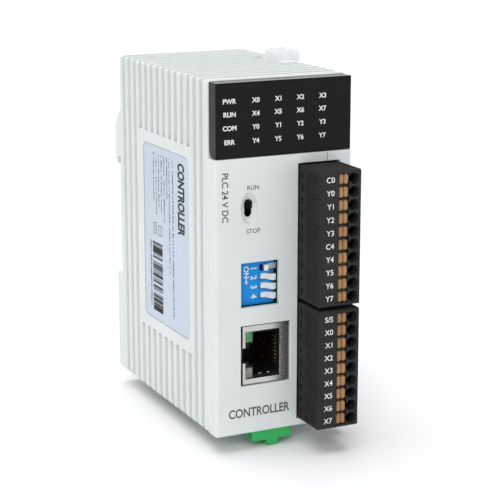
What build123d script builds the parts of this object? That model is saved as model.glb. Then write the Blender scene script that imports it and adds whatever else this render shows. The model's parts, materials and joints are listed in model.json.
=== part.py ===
from build123d import *
import os

# A programmable controller module for a 35 mm rail, in millimetres.
# Origin: centre of the face that seats on the rail. +X is to the right of someone facing
# the module, +Y goes into the wall, +Z is up. The front face looks along -Y.

os.makedirs("parts", exist_ok=True)

# Driving dimensions of the case
case_width = 40.0
case_height = 95.0
front_y = -67.0
cover_depth = 4.4
cover_wall = 1.3
seam_chamfer = 0.25
upper_rear_y = -1.0
hook_y = 3.5
wall = 1.8
rail_height = 35.0
rail_clearance = 0.2
rail_lip = 2.2
rail_flange_gap = 1.2
seat_relief = 0.3
hook_top_z = 26.7
ramp_top_z = 32.7

# Ribbing of the case
groove_pitch = 4.19
groove_count = 14
first_groove = 9.2
groove_depth = 0.8
groove_step = 0.5
groove_ramp = 2.35
plain_band_z = 28.5

# Front details, measured from the case's left edge and bottom edge
window_bottom = 75.15
dip_centre = (13.05, 41.0)
dip_window = (11.1, 12.2)
jack_centre = (14.7, 21.65)
jack_window = (14.6, 16.7)
mode_centre = (9.85, 61.6)
mode_slot = (2.05, 4.7)
mode_dish = (4.7, 8.5)

# Terminal blocks
pole_pitch = 3.5
block_left = 24.33
block_width = 11.82
block_depth = 12.0
upper_poles = 10
lower_poles = 9
upper_block_centre = 54.0
lower_block_centre = 18.6
block_end = 0.5

# Travel of what moves
mode_travel = 2.2
button_travel = 1.5

half_width = case_width / 2
half_height = case_height / 2
case_front_y = front_y + cover_depth
board_y = -58.0
block_front_y = front_y - block_depth


def from_left(distance):
    """X of a place measured from the case's left edge."""
    return distance - half_width


def from_bottom(distance):
    """Z of a place measured from the case's bottom edge."""
    return distance - half_height


def brick(x_range, y_range, z_range):
    """A box between three pairs of limits."""
    low = (x_range[0], y_range[0], z_range[0])
    high = (x_range[1], y_range[1], z_range[1])
    size = [top - bottom for bottom, top in zip(low, high)]
    centre = [(top + bottom) / 2 for bottom, top in zip(low, high)]
    return Pos(*centre) * Box(*size)


def around(centre, half):
    """A pair of limits either side of a centre."""
    return (centre - half, centre + half)


def rod(axis, radius, start, end, first, second):
    """A round bar along X, Y or Z, from start to end, at two other coordinates."""
    length = end - start
    middle = (start + end) / 2
    if axis == "x":
        return Pos(middle, first, second) * Rot(0, 90, 0) * Cylinder(radius, length)
    if axis == "y":
        return Pos(first, middle, second) * Rot(90, 0, 0) * Cylinder(radius, length)
    return Pos(first, second, middle) * Cylinder(radius, length)


def side_profile(points, half_span):
    """A (y, z) outline carried along X, to both sides of the middle."""
    face = make_face(Polyline(*points, close=True))
    return extrude(Plane.YZ * face, amount=half_span, both=True)


def plan_profile(points, z_range):
    """An (x, y) outline carried along Z."""
    face = make_face(Polyline(*points, close=True))
    return extrude(Pos(0, 0, z_range[0]) * face, amount=z_range[1] - z_range[0])


def pole_heights(centre, count):
    """Z of each pole of a terminal block, from the top pole down."""
    top = from_bottom(centre) + (count - 1) * pole_pitch / 2
    return [top - index * pole_pitch for index in range(count)]


upper_heights = pole_heights(upper_block_centre, upper_poles)
lower_heights = pole_heights(lower_block_centre, lower_poles)


# ---- case ----

mouth_x = half_width - wall
mouth_z = half_height - wall
tongue_gap = 0.1
tongue_wall = 1.2
tongue_length = 2.8
cavity_rear_y = -3.0
boss_x = -14.7
boss_places = ((-50.0, -40.0), (-50.0, 38.0), (-10.0, -40.0), (-10.0, 40.0))
plug_x = (from_left(11.6), from_left(23.0))
plug_y = (front_y + 1.5, front_y + 9.7)
plug_gap = 0.2
power_header_height = 10.0
clip_half = 6.8
clip_neck_half = 4.8
clip_gap = 0.15
latch_x = (11.8, 18.2)
latch_track_y = (-42.0, -21.0)
latch_sled_y = (-41.5, -26.5)
latch_grip_x = (13.0, 19.8)
latch_grip_y = (-37.0, -29.0)
latch_grip_height = 3.4
socket_y = (-23.0, -12.0)
socket_z = (-14.0, 14.0)
socket_pitch = 2.54
label_y = (-50.2, -18.2)
label_z = (-25.1, 25.3)
label_depth = 0.35
snap_z = (from_bottom(83.0), from_bottom(87.3))
parting_x = 12.6
snap_y = (front_y + 7.5, front_y + 8.5)


def groove_places():
    """Y of each groove, from the front edge of the case back."""
    first = front_y + first_groove
    return [first + index * groove_pitch for index in range(groove_count)]


def groove_section(place, face, outward):
    """Saw tooth groove: (along Y, across the wall) points, deepest at its rear step."""
    over = face + outward * 0.1
    floor = face - outward * groove_depth
    rear = place + groove_step
    return [
        (rear + 0.05, over),
        (rear - 0.15, floor),
        (rear - 0.75, floor),
        (rear - groove_ramp, over),
    ]


def groove_cutters():
    """Every groove of the four sides, broken around the plain band of the flanks."""
    cutters = []
    reach = half_height + 1
    for place in groove_places():
        inside_band = label_y[0] - 1.5 < place < label_y[1] + 3
        runs = [(-reach, reach)]
        if inside_band:
            runs = [(-reach, -plain_band_z), (plain_band_z, reach)]
        for outward in (-1, 1):
            section = groove_section(place, outward * half_width, outward)
            points = [(across, along) for along, across in section]
            for run in runs:
                cutters.append(plan_profile(points, run))
            section = groove_section(place, outward * half_height, outward)
            cutters.append(side_profile(section, half_width + 1))
    return cutters


def case_outline():
    """Side view of the case: rail notch, relieved in its corners, and fixed upper hook."""
    notch = rail_height / 2 + rail_clearance
    lip = notch - rail_lip
    seat = lip - 0.1
    return [
        (case_front_y, -half_height),
        (hook_y, -half_height),
        (hook_y, -notch),
        (-seat_relief, -notch),
        (-seat_relief, -seat),
        (0, -seat),
        (0, seat),
        (-seat_relief, seat),
        (-seat_relief, notch),
        (rail_flange_gap, notch),
        (rail_flange_gap, lip),
        (hook_y - 0.8, lip),
        (hook_y, lip + 0.8),
        (hook_y, hook_top_z),
        (upper_rear_y, ramp_top_z),
        (upper_rear_y, half_height),
        (case_front_y, half_height),
    ]


def clip_channel(gap):
    """T shaped track of the rail clip, with a gap all round."""
    notch = rail_height / 2
    z_range = (-half_height - 6, -notch + 0.05)
    wide = brick(around(0, clip_half + gap), (0.7 - gap, 2.0 + gap), z_range)
    neck = brick(around(0, clip_neck_half + gap), (1.9, hook_y + 1), z_range)
    return wide + neck


def latch_track(sign):
    """Pocket and undercut for a coupling latch, in the top (1) or bottom (-1) wall."""
    face = sign * half_height
    neck_z = sorted((face + sign, face - sign * 0.9))
    neck = brick((latch_x[0] + 1.0, latch_x[1] - 1.0), latch_track_y, neck_z)
    base_z = sorted((face - sign * 0.8, face - sign * 1.9))
    base = brick(latch_x, latch_track_y, base_z)
    return neck + base


def make_main_housing():
    """Rear shell: ribbed box, open at the front, with hook, notch and clip track."""
    shell = side_profile(case_outline(), half_width)
    long_edges = shell.edges().filter_by(Axis.Y).filter_by(lambda edge: edge.length > 20)
    shell = fillet(long_edges, 0.9)
    seam = shell.faces().sort_by(Axis.Y)[0].edges()
    shell = chamfer(seam, seam_chamfer)
    shell -= brick(around(0, mouth_x), (case_front_y - 1, cavity_rear_y), around(0, mouth_z))
    for sign in (-1, 1):
        backing_x = (latch_x[0] - 1.5, mouth_x + 0.5)
        backing_y = (latch_track_y[0] - 1.5, latch_track_y[1] + 1.5)
        backing_z = sorted((sign * (half_height - 3.4), sign * (half_height - 1.0)))
        shell += brick(backing_x, backing_y, backing_z)
    for boss_y, boss_z in boss_places:
        shell += rod("x", 2.6, -mouth_x - 0.5, boss_x, boss_y, boss_z)
    for boss_y, boss_z in boss_places:
        shell -= rod("x", 1.12, -mouth_x + 0.4, boss_x + 1, boss_y, boss_z)
    shell -= groove_cutters()
    recess = RectangleRounded(label_y[1] - label_y[0], label_z[1] - label_z[0], 2.0)
    middle_y = sum(label_y) / 2
    middle_z = sum(label_z) / 2
    pocket = extrude(Plane.YZ * recess, amount=label_depth)
    shell -= Pos(-half_width, middle_y, middle_z) * pocket
    for sign in (-1, 1):
        shell -= brick(sorted((sign * (mouth_x - 1), sign * (half_width + 1))), snap_y, snap_z)
        shell -= latch_track(sign)
    shell -= clip_channel(clip_gap)
    socket_hole_y = (socket_y[0] - 0.2, socket_y[1] + 0.2)
    socket_hole_z = (socket_z[0] - 0.2, socket_z[1] + 0.2)
    shell -= brick((mouth_x - 1, half_width + 1), socket_hole_y, socket_hole_z)
    plug_hole_x = (plug_x[0] - plug_gap, plug_x[1] + plug_gap)
    plug_hole_y = (case_front_y - 1, plug_y[1] + plug_gap)
    shell -= brick(plug_hole_x, plug_hole_y, (-half_height - 1, -mouth_z + 1))
    return shell


def make_front_cover():
    """Front shell: thin face with its windows, a rim, and a tongue into the case."""
    shelf_z = from_bottom(window_bottom) - 0.15
    inner_x = mouth_x - tongue_gap - tongue_wall
    inner_z = mouth_z - tongue_gap - tongue_wall
    shell = brick(around(0, half_width), (front_y, case_front_y), (-half_height, shelf_z))
    upright = shell.edges().filter_by(Axis.Z).group_by(Axis.Y)[0]
    shell = fillet(upright, 0.9)
    foot = shell.edges().filter_by(Axis.X).group_by(Axis.Z)[0].sort_by(Axis.Y)[0]
    shell = fillet(foot, 0.5)
    seam = shell.faces().sort_by(Axis.Y)[-1].edges()
    shell = chamfer(seam, seam_chamfer)
    tongue_y = (case_front_y - 0.2, case_front_y + tongue_length)
    shell += brick(around(0, mouth_x - tongue_gap), tongue_y, around(0, mouth_z - tongue_gap))
    shell -= brick(around(0, inner_x), (case_front_y + 1.4, case_front_y + 9), around(0, inner_z))
    hollow_z = (-inner_z, shelf_z - 1.8)
    shell -= brick(around(0, inner_x), (front_y + cover_wall, case_front_y + 2), hollow_z)
    window_seat_y = (front_y - 1, case_front_y + 0.1)
    shell -= brick(around(0, half_width), window_seat_y, (shelf_z, half_height + 1))
    through = (front_y - 1, front_y + cover_wall + 0.5)
    dip_window_x = around(from_left(dip_centre[0]), dip_window[0] / 2)
    shell -= brick(dip_window_x, through, around(dip_z, dip_window[1] / 2))
    jack_window_x = around(from_left(jack_centre[0]), jack_window[0] / 2)
    shell -= brick(jack_window_x, through, around(jack_z, jack_window[1] / 2))
    dish = scale(Sphere(1.0), by=(mode_dish[0] / 2, 1.2, mode_dish[1] / 2))
    shell -= Pos(mode_x, front_y, mode_z) * dish
    slot = Plane.XZ * Rot(0, 0, 90) * SlotOverall(mode_slot[1], mode_slot[0])
    shell -= Pos(mode_x, front_y, mode_z) * extrude(slot, amount=6, both=True)
    block_gap = 0.25
    cut_x = (from_left(block_left) - block_gap, from_left(block_left + block_width) + block_gap)
    cut_z = (lower_heights[-1] - pole_pitch / 2 - 0.9, upper_heights[0] + pole_pitch / 2 + 0.9)
    shell -= brick(cut_x, (front_y - 1, case_front_y + tongue_length + 1), cut_z)
    plug_cut_x = (plug_x[0] - plug_gap, plug_x[1] + plug_gap)
    plug_cut_z = (-half_height - 1, -half_height + power_header_height + plug_gap)
    shell -= brick(plug_cut_x, (plug_y[0] - plug_gap, case_front_y + 5), plug_cut_z)
    openings = shell.faces().sort_by(Axis.Y)[0].inner_wires()
    shell = chamfer([edge for wire in openings for edge in wire.edges()], 0.12)
    parting_y = (front_y - 1, front_y + 0.35)
    shell -= brick(around(parting_x, 0.12), parting_y, (cut_z[1] - 0.5, shelf_z - 0.3))
    for column, row in indicator_places():
        shell -= rod("y", 1.3, case_front_y - 1, case_front_y + 3, column, row)
    for sign in (-1, 1):
        nib_x = sorted((sign * (mouth_x - tongue_gap - 0.4), sign * (half_width - 1.35)))
        arm_x = sorted((sign * inner_x, sign * (mouth_x - tongue_gap)))
        arm_z = (snap_z[0] + 0.3, snap_z[1] - 0.3)
        shell += brick(arm_x, (case_front_y + 0.5, snap_y[1]), arm_z)
        shell += brick(nib_x, (snap_y[0] + 0.15, snap_y[1] - 0.15), arm_z)
    return shell


# ---- indicator window ----

window_side = 0.4
window_top_z = half_height - 0.4
window_bottom_z = from_bottom(window_bottom)
window_depth = 4.2
column_places = (4.24, 11.65, 18.05, 24.5, 31.0)
row_places = (90.2, 86.65, 83.1, 79.55)


def indicator_places():
    """Centre (x, z) of each indicator, row by row."""
    places = []
    for row in row_places:
        for column in column_places:
            places.append((from_left(column), from_bottom(row)))
    return places


def make_indicator_window():
    """Dark cap over the indicators: closed front, open back, rounded lower back edge."""
    y_range = (front_y, front_y + window_depth)
    cap = brick(around(0, half_width - window_side), y_range, (window_bottom_z, window_top_z))
    low_back = cap.edges().filter_by(Axis.X).group_by(Axis.Z)[0].sort_by(Axis.Y)[-1]
    cap = fillet(low_back, 2.2)
    front_edges = cap.faces().sort_by(Axis.Y)[0].edges()
    cap = fillet(front_edges, 0.35)
    hollow_x = around(0, half_width - window_side - 1.2)
    hollow_z = (window_bottom_z + 3.0, window_top_z - 1.2)
    cap -= brick(hollow_x, (front_y + 1.2, front_y + 9), hollow_z)
    return cap


def make_light_guide():
    """Clear plate inside the window, with a light pipe back to each indicator LED."""
    plate_y = (front_y + 1.35, front_y + 2.6)
    plate_z = (window_bottom_z + 3.2, window_top_z - 1.4)
    guide = brick(around(0, half_width - window_side - 1.5), plate_y, plate_z)
    for column, row in indicator_places():
        guide += rod("y", 1.0, front_y + 2.0, board_y - 0.9, column, row)
    return guide


def make_indicator_leds():
    """One small light source on the front board behind each light pipe."""
    chips = []
    for column, row in indicator_places():
        chips.append(brick(around(column, 0.8), (board_y - 0.7, board_y), around(row, 0.5)))
    return Compound(children=chips)


# ---- boards and what is soldered to them ----

main_board_x = (boss_x, boss_x + 1.6)
io_board_x = (16.5, 17.7)
front_board_y = (board_y, board_y + 1.6)


def make_front_board():
    """Board parallel to the front face: indicators above, switches below left."""
    upper = brick((-16.6, 16.2), front_board_y, (26.0, 44.0))
    lower = brick((-16.6, 3.8), front_board_y, (-15.0, 26.5))
    return upper + lower


def make_main_board():
    """Processor and power board, upright along the left flank, on four bosses."""
    board = brick(main_board_x, (-55.6, -5.0), (-44.0, 44.0))
    for boss_y, boss_z in boss_places:
        board -= rod("x", 1.4, main_board_x[0] - 1, main_board_x[1] + 1, boss_y, boss_z)
    return board


def make_io_board():
    """Input and output board along the right flank, carrying both terminal headers."""
    board = brick(io_board_x, (-56.0, -26.0), (-43.5, 42.0))
    for place_z in upper_heights + lower_heights:
        board -= rod("x", 0.65, io_board_x[0] - 1, io_board_x[1] + 1, pin_bend_y, place_z)
    return board


def make_board_screws():
    """Four pan head screws that hold the main board on its bosses."""
    screws = []
    head_x = (main_board_x[1] + 0.02, main_board_x[1] + 1.6)
    for boss_y, boss_z in boss_places:
        head = rod("x", 2.1, head_x[0], head_x[1], boss_y, boss_z)
        head = fillet(head.edges().group_by(Axis.X)[-1], 0.8)
        shank = rod("x", 1.05, -mouth_x + 0.8, head_x[0] + 0.3, boss_y, boss_z)
        slot = brick((head_x[1] - 0.7, head_x[1] + 1), around(boss_y, 0.3), around(boss_z, 3))
        screws.append(head + shank - slot)
    return Compound(children=screws)


def make_processor():
    """Flat square processor package with legs on two sides."""
    body_x = (main_board_x[1] + 0.15, main_board_x[1] + 1.5)
    chip = brick(body_x, (-50.0, -38.0), (4.0, 16.0))
    chip = chamfer(chip.faces().sort_by(Axis.X)[-1].edges(), 0.3)
    leg_x = (main_board_x[1] + 0.01, main_board_x[1] + 0.6)
    for index in range(11):
        leg_z = 5.0 + index
        chip += brick(leg_x, (-51.2, -36.8), around(leg_z, 0.2))
    return chip


def make_power_transformer():
    """Potted supply transformer: ferrite block with its winding barrel."""
    start = main_board_x[1] + 0.02
    core = brick((start, start + 14), (-26.0, -10.0), (16.0, 20.0))
    core += brick((start, start + 14), (-26.0, -10.0), (30.0, 34.0))
    core += brick((start, start + 3), (-26.0, -10.0), (19.0, 31.0))
    barrel = rod("z", 5.6, 19.0, 31.0, start + 8.0, -18.0)
    return core + barrel


def make_power_capacitors():
    """Two aluminium can capacitors standing on the main board."""
    start = main_board_x[1] + 0.02
    cans = []
    for can_z in (2.0, -10.0):
        can = rod("x", 5.0, start, start + 15, -16.0, can_z)
        can = fillet(can.edges().group_by(Axis.X)[-1], 0.6)
        groove = rod("x", 5.5, start + 1.6, start + 2.2, -16.0, can_z)
        groove -= rod("x", 4.7, start + 1.4, start + 2.4, -16.0, can_z)
        cans.append(can - groove)
    return Compound(children=cans)


def make_optocouplers():
    """Sixteen isolating chips, two rows of eight, one for each input and output."""
    chips = []
    body_x = (io_board_x[0] - 2.4, io_board_x[0] - 0.02)
    for row_y in (-47.0, -38.0):
        for index in range(8):
            chip_z = -34.0 + index * 9.4
            chips.append(brick(body_x, around(row_y, 2.2), around(chip_z, 3.2)))
    return Compound(children=chips)


# ---- network socket ----

jack_x = from_left(jack_centre[0]) + 0.25
jack_z = from_bottom(jack_centre[1])
jack_half_x = 6.8
jack_half_z = 8.0
jack_front_y = front_y + 0.6
jack_rear_y = jack_front_y + 21.0
sheet = 0.3
mouth_of_shield_x = (jack_x - 6.0, jack_x + 4.15)
mouth_of_shield_z = (jack_z - 6.6, jack_z + 6.5)
bay_x = (jack_x - 3.5, jack_x + 3.95)
bay_half_z = 5.95
bay_rear_y = jack_front_y + 13.5
light_x = jack_x - 4.85
light_half_z = 5.0
light_half = (1.02, 1.42)
contact_pitch = 1.016


def make_rj45_shield():
    """Folded metal shield: box round the socket with an open framed mouth."""
    x_range = around(jack_x, jack_half_x)
    z_range = around(jack_z, jack_half_z)
    shield = brick(x_range, (jack_front_y, jack_rear_y), z_range)
    inner_x = around(jack_x, jack_half_x - sheet)
    inner_z = around(jack_z, jack_half_z - sheet)
    shield -= brick(inner_x, (jack_front_y + sheet, jack_rear_y - sheet), inner_z)
    mouth_y = (jack_front_y - 1, jack_front_y + sheet + 0.01)
    shield -= brick(mouth_of_shield_x, mouth_y, mouth_of_shield_z)
    latch_notch_x = (jack_x - jack_half_x - 1, mouth_of_shield_x[0] + 1)
    shield -= brick(latch_notch_x, (jack_front_y - 1, jack_front_y + 1.2), around(jack_z, 2.1))
    for side in (-1, 1):
        window_z = sorted((jack_z + side * (jack_half_z - 1), jack_z + side * (jack_half_z + 1)))
        shield -= brick((jack_x - 1.5, jack_x + 1.5), (jack_front_y + 4, jack_front_y + 7.5), window_z)
    return shield


def make_rj45_insert():
    """Black insert: plug bay with its latch step, contact comb and two light wells."""
    gap = 0.05
    x_range = around(jack_x, jack_half_x - sheet - gap)
    z_range = around(jack_z, jack_half_z - sheet - gap)
    body = brick(x_range, (jack_front_y + 0.5, jack_rear_y - sheet - gap), z_range)
    bay_y = (jack_front_y - 1, bay_rear_y)
    body -= brick(bay_x, bay_y, around(jack_z, bay_half_z))
    for step, half in ((1.3, 3.0), (2.9, 2.0)):
        body -= brick((bay_x[0] - step, bay_x[0] + 1), bay_y, around(jack_z, half))
    for side in (-1, 1):
        light_z = jack_z + side * light_half_z
        light_well_y = (jack_front_y - 1, jack_front_y + 12)
        well_half = (light_half[0] + 0.06, light_half[1] + 0.06)
        body -= brick(around(light_x, well_half[0]), light_well_y, around(light_z, well_half[1]))
    for index in range(8):
        comb_z = jack_z + (index - 3.5) * contact_pitch
        comb_x = (bay_x[1] - 0.5, bay_x[1] + 0.9)
        body -= brick(comb_x, (jack_front_y + 1.6, bay_rear_y), around(comb_z, 0.28))
    return body


def make_rj45_contacts():
    """Eight sprung gold wires that slope across the bay from its right side."""
    wires = []
    points = [
        (bay_x[1] + 0.85, jack_front_y + 2.2),
        (bay_x[1] - 0.10, jack_front_y + 2.2),
        (bay_x[1] - 0.50, jack_front_y + 2.9),
        (bay_x[1] - 2.2, jack_front_y + 12.2),
        (bay_x[1] - 1.9, jack_front_y + 12.4),
        (bay_x[1] - 0.10, jack_front_y + 3.1),
        (bay_x[1] + 0.85, jack_front_y + 2.7),
    ]
    for index in range(8):
        wire_z = jack_z + (index - 3.5) * contact_pitch
        wires.append(plan_profile(points, around(wire_z, 0.2)))
    return Compound(children=wires)


def make_rj45_lights():
    """Two clear light pipes, in the corners beside the latch step."""
    pipes = []
    for side in (-1, 1):
        light_z = jack_z + side * light_half_z
        light_y = (jack_front_y + 0.35, jack_front_y + 11.8)
        light_z_range = around(light_z, light_half[1])
        pipes.append(brick(around(light_x, light_half[0]), light_y, light_z_range))
    return Compound(children=pipes)


# ---- DIP switch ----

dip_x = from_left(dip_centre[0]) - 0.3
dip_z = from_bottom(dip_centre[1])
dip_half = (5.35, 6.05)
dip_face_y = front_y + 2.5
dip_pitch = 2.54
rocker_pivot = (dip_x + 3.5, dip_face_y + 1.05)
rocker_half_z = 0.82
off_angle = -60.0
on_angle = 10.0


def rocker_height(number):
    """Z of rocker 1 to 4, from the top down."""
    return dip_z + (2.5 - number) * dip_pitch


def make_dip_body():
    """Blue switch body, with four wells open to its face and right side."""
    body = brick(around(dip_x, dip_half[0]), (dip_face_y, board_y), around(dip_z, dip_half[1]))
    for number in range(1, 5):
        well_x = (rocker_pivot[0] - 2.3, dip_x + dip_half[0] + 1)
        well_z = around(rocker_height(number), rocker_half_z + 0.12)
        body -= brick(well_x, (dip_face_y - 1, dip_face_y + 3.6), well_z)
    return body


def make_dip_lever(number):
    """White rocker: short thumb and longer arm either side of its pivot."""
    angle = on_angle if number == 1 else off_angle
    arm = brick((0, 2.95), (-0.6, 0.55), around(0, rocker_half_z))
    thumb = Rot(0, 0, -120) * brick((0, 1.75), (-0.55, 0.55), around(0, rocker_half_z))
    hub = rod("z", 0.75, -rocker_half_z, rocker_half_z, 0, 0)
    place = Pos(rocker_pivot[0], rocker_pivot[1], rocker_height(number))
    return place * Rot(0, 0, angle) * (arm + thumb + hub)


# ---- mode switch ----

mode_x = from_left(mode_centre[0])
mode_z = from_bottom(mode_centre[1])
knob_half = (0.72, 0.95)


def make_mode_switch_body():
    """Slide switch body on the front board, with a slot for its knob."""
    body = brick(around(mode_x, 2.0), (front_y + 2.9, board_y), around(mode_z, 4.4))
    slot_x = around(mode_x, knob_half[0] + 0.2)
    slot_z = around(mode_z, knob_half[1] + mode_travel / 2 + 0.35)
    body -= brick(slot_x, (front_y + 2, front_y + 5.4), slot_z)
    return body


def make_mode_switch_knob():
    """Small rounded slider, resting in its upper position."""
    knob_z = mode_z + mode_travel / 2
    y_range = (front_y - 0.5, front_y + 5.1)
    knob = brick(around(mode_x, knob_half[0]), y_range, around(knob_z, knob_half[1]))
    tip = knob.faces().sort_by(Axis.Y)[0].edges()
    return fillet(tip, 0.6)


# ---- terminal blocks, headers and release buttons ----

block_x = (from_left(block_left), from_left(block_left + block_width))
button_x = (from_left(29.75), from_left(32.6))
entry_x = from_left(34.1)
entry_radius = 1.5
well_half_z = 1.48
button_half_z = 1.38
header_y = (front_y + 0.3, front_y + 9.3)
socket_floor_y = front_y + 7.0
tongue_x = (block_x[0] + 1.3, block_x[1] - 1.3)
tongue_y = (front_y - 0.2, front_y + 6.6)
pocket_x = (tongue_x[0] + 0.8, tongue_x[1] - 0.6)
pocket_y = (block_front_y + 7.0, front_y + 5.6)
stem_end_y = pocket_y[0] + 0.2
well_floor_y = stem_end_y + button_travel + 0.3
panel_y = (block_front_y + 1.4, front_y - 4.6)
pin_x = from_left(30.2)
pin_half = 0.4
pin_bend_y = front_y + 12.5


def block_span(heights):
    """Lowest and highest Z of a terminal block."""
    return (heights[-1] - pole_pitch / 2 - block_end, heights[0] + pole_pitch / 2 + block_end)


def make_terminal_block(heights):
    """Pluggable spring terminal: a wire entry and a button well for each pole."""
    low_z, high_z = block_span(heights)
    block = brick(block_x, (block_front_y, front_y - 0.2), (low_z, high_z))
    block = chamfer(block.edges().filter_by(Axis.X).group_by(Axis.Y)[0], 0.35)
    block = chamfer(block.edges().filter_by(Axis.Z).sort_by(Axis.X)[-1], 0.4)
    block += brick(tongue_x, (tongue_y[0] - 0.2, tongue_y[1]), (low_z + 1.2, high_z - 1.2))
    cuts = [
        brick(
            (button_x[0] - 0.1, button_x[1] + 0.1),
            (block_front_y - 1, block_front_y + 0.9),
            (heights[-1] - well_half_z, heights[0] + well_half_z),
        )
    ]
    for pole_z in heights:
        well_x = (button_x[0] - 0.1, button_x[1] + 0.1)
        cuts.append(brick(well_x, (block_front_y - 1, well_floor_y), around(pole_z, well_half_z)))
        cuts.append(rod("y", entry_radius, block_front_y - 1, pocket_y[0] + 1, entry_x, pole_z))
        cuts.append(brick(pocket_x, pocket_y, around(pole_z, 1.3)))
        cuts.append(brick(around(pin_x, 0.7), (pocket_y[1] - 1, tongue_y[1] + 1), around(pole_z, 0.7)))
        slit_y = (front_y - 2.3, front_y - 1.1)
        cuts.append(brick((block_x[0] - 1, block_x[0] + 0.8), slit_y, around(pole_z, 0.8)))
        for panel_z in (around(pole_z - 0.62, 0.42), around(pole_z + 0.62, 0.42)):
            cuts.append(brick((block_x[0] - 1, block_x[0] + 0.2), panel_y, panel_z))
    for pole_z in heights[1:]:
        seam_z = pole_z + pole_pitch / 2
        seam_y = (block_front_y + 1.0, front_y - 4.0)
        cuts.append(brick((block_x[0] - 1, block_x[0] + 0.25), seam_y, around(seam_z, 0.15)))
    return block - cuts


def make_terminal_header(heights):
    """Open shroud soldered to the board, which the terminal block plugs into."""
    low_z, high_z = block_span(heights)
    header = brick(block_x, header_y, (low_z + 0.1, high_z - 0.1))
    cavity_x = (tongue_x[0] - 0.15, tongue_x[1] + 0.15)
    header -= brick(cavity_x, (header_y[0] - 1, socket_floor_y), (low_z + 1.0, high_z - 1.0))
    for pole_z in heights:
        hole = pin_half + 0.03
        header -= brick(around(pin_x, hole), (header_y[0], header_y[1] + 1), around(pole_z, hole))
    return header


def make_terminal_pins(heights):
    """Square pins: straight through the header, then bent over to the board."""
    pins = []
    for pole_z in heights:
        z_range = around(pole_z, pin_half)
        straight = brick(around(pin_x, pin_half), (front_y + 2.2, pin_bend_y + pin_half), z_range)
        bend = brick((pin_x - pin_half, io_board_x[1] + 0.3), around(pin_bend_y, pin_half), z_range)
        pins.append(straight + bend)
    return Compound(children=pins)


def make_clamp_springs(heights):
    """Bent leaf springs, one in each pole, that grip the wire against the pin."""
    springs = []
    fold_y = front_y - 3.2
    rear_y = front_y + 1.4
    leaf = 0.3
    points = [
        (pocket_x[1] - 0.4, fold_y),
        (pocket_x[1] - 0.4 - leaf, fold_y),
        (pin_x + 1.3, rear_y - leaf),
        (pocket_x[0] + 0.6, rear_y - leaf),
        (pocket_x[0] + 0.6, rear_y),
        (pin_x + 1.4 + leaf, rear_y),
    ]
    for pole_z in heights:
        springs.append(plan_profile(points, around(pole_z, 1.1)))
    return Compound(children=springs)


def make_release_button(pole_z):
    """Amber push button: two rounded bars on its face and a stem into the block."""
    face_y = block_front_y + 0.75
    button = brick(button_x, (face_y + 0.4, stem_end_y), around(pole_z, button_half_z))
    spacing = (button_x[1] - button_x[0]) / 4
    radius = spacing - 0.02
    taper = 0.35
    low_z, high_z = around(pole_z, button_half_z - taper)
    for bar_x in (button_x[0] + spacing, button_x[1] - spacing):
        button += rod("z", radius, low_z, high_z, bar_x, face_y)
        tip = Cone(radius, radius - taper, taper)
        button += Pos(bar_x, face_y, high_z + taper / 2) * tip
        button += Pos(bar_x, face_y, low_z - taper / 2) * Rot(180, 0, 0) * tip
    return button


# ---- power connector ----

header_wall = 0.8
power_pins_x = [sum(plug_x) / 2 + offset * 3.81 for offset in (-1, 0, 1)]
power_pin_y = sum(plug_y) / 2 + 0.6
clamp_screw_y = plug_y[0] + 2.2
plug_skirt_z = -half_height - 0.1
plug_bottom_z = from_bottom(-3.3)


def make_power_header():
    """Green shroud inside the case, open downwards, for the power plug."""
    x_range = (plug_x[0] - 0.05, plug_x[1] + 0.05)
    y_range = (plug_y[0] - 0.05, plug_y[1] + 0.05)
    header = brick(x_range, y_range, (-half_height + 0.3, -half_height + power_header_height))
    inner_x = (x_range[0] + header_wall, x_range[1] - header_wall)
    inner_y = (y_range[0] + header_wall, y_range[1] - header_wall)
    header -= brick(inner_x, inner_y, (-half_height - 1, -half_height + 8.4))
    pin_hole_z = (-half_height, -half_height + 11)
    for pin_place in power_pins_x:
        header -= brick(around(pin_place, 0.53), around(power_pin_y, 0.53), pin_hole_z)
    return header


def make_power_header_pins():
    """Three square pins standing down into the power plug."""
    pins = []
    for pin_place in power_pins_x:
        z_range = (-half_height + 3.0, -half_height + 12.5)
        pins.append(brick(around(pin_place, 0.5), around(power_pin_y, 0.5), z_range))
    return Compound(children=pins)


def make_power_plug():
    """Green three way plug, pushed up into its header, with a pull tab."""
    body = brick(plug_x, plug_y, (plug_bottom_z, plug_skirt_z))
    tongue_inset = header_wall + 0.15
    inner_x = (plug_x[0] + tongue_inset, plug_x[1] - tongue_inset)
    inner_y = (plug_y[0] + tongue_inset, plug_y[1] - tongue_inset)
    body += brick(inner_x, inner_y, (plug_skirt_z - 0.5, -half_height + 8.0))
    tab_x = (from_left(15.9), from_left(19.2))
    tab_points = [
        (plug_y[0], plug_bottom_z - 1.5),
        (plug_y[0] + 1.8, plug_bottom_z - 1.5),
        (plug_y[0] + 3.4, plug_bottom_z + 0.2),
        (plug_y[0], plug_bottom_z + 0.2),
    ]
    tab = side_profile(tab_points, (tab_x[1] - tab_x[0]) / 2)
    body += Pos(sum(tab_x) / 2, 0, 0) * tab
    for pin_place in power_pins_x:
        pin_hole_z = (-half_height + 1.5, -half_height + 9)
        body -= brick(around(pin_place, 0.7), around(power_pin_y, 0.7), pin_hole_z)
        entry_y = (plug_y[1] - 3.6, plug_y[1] - 1.2)
        body -= brick(around(pin_place, 1.2), entry_y, (plug_bottom_z - 1, -half_height + 1.5))
        body -= rod("z", 1.05, plug_bottom_z - 1, -half_height + 0.5, pin_place, clamp_screw_y)
    for rib_y in (plug_y[0] + 2.0, plug_y[0] + 5.4):
        rib_z = (plug_bottom_z - 1, plug_skirt_z - 0.6)
        body -= brick((plug_x[0] - 1, plug_x[0] + 0.4), around(rib_y, 0.7), rib_z)
    return body


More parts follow.
